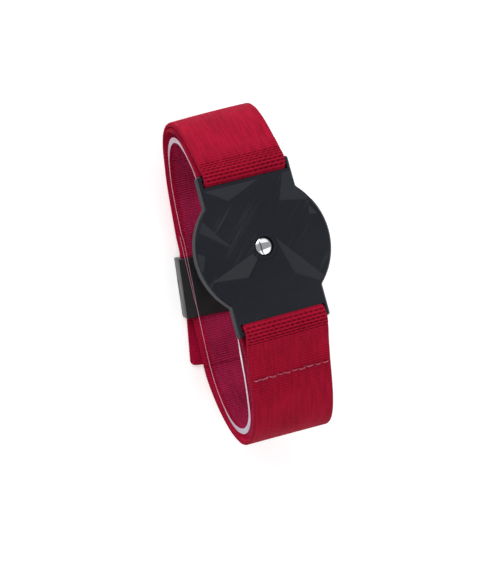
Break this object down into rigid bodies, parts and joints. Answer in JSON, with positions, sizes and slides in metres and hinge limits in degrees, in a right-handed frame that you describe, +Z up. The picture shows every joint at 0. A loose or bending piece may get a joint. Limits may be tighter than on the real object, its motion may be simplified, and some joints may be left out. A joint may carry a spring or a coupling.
{
  "type": "esd wrist strap",
  "caption": "Elastic wrist strap with a faceted contact plate, polished discharge stud, cam buckle with a free tail, and a clear former ring holding the loop open.",
  "frame": {"origin": "middle of the overall box in X and Y, on the plane of the buckle's outer faces, which the strap stands on", "axes": "+Z up through the wrist opening from the buckle to the face plate, +Y along the plate towards its slot that feeds the band with the free tail, +X across the webbing"},
  "size_m": [0.032, 0.0788, 0.0487],
  "materials": {
    "housing": "smooth moulded black, satin gloss",
    "inner_cover": "moulded black, matt",
    "contact_steel": "fine circular brushing",
    "tinned_brass": "tinned, dull",
    "polished_stud": "mirror polish with fine handling marks",
    "zinc_steel": "bright zinc",
    "resistor_body": "lacquered",
    "tinned_wire": "tinned wire",
    "clear_film": "clear, glossy",
    "webbing": "ribbed elastic weave, soft sheen",
    "thread": "twisted polyester thread",
    "buckle_black": "black plated, semi-gloss",
    "lever_black": "black plated, semi-gloss"
  },
  "bodies": {
    "strap": {"face_plate": "housing", "back_cover": "inner_cover", "contact_disc": "contact_steel", "contact_rivet": "contact_steel", "contact_tag": "tinned_brass", "discharge_stud": "polished_stud", "stud_washer": "zinc_steel", "stud_tag": "tinned_brass", "stud_nut": "zinc_steel", "series_resistor": "resistor_body", "resistor_leads": "tinned_wire", "upper_band": "webbing", "lower_band": "webbing", "upper_stitching": "thread", "lower_stitching": "thread", "buckle_stitching": "thread", "buckle_frame": "buckle_black", "lever_pin": "zinc_steel"},
    "lever": {"cam_lever": "lever_black"},
    "former": {"clear_former": "clear_film"}
  },
  "joints": [
    {"name": "lever_hinge", "type": "hinge", "parent": "strap", "child": "lever", "pos_m": [0.00008, -0.0028, 0.00115], "axis": [-0.9976, 0.0698, 0], "range_deg": [0, 105]},
    {"name": "former_slide", "type": "slide", "parent": "strap", "child": "former", "axis": [1, 0, 0], "range_m": [-0.022, 0.022]}
  ]
}
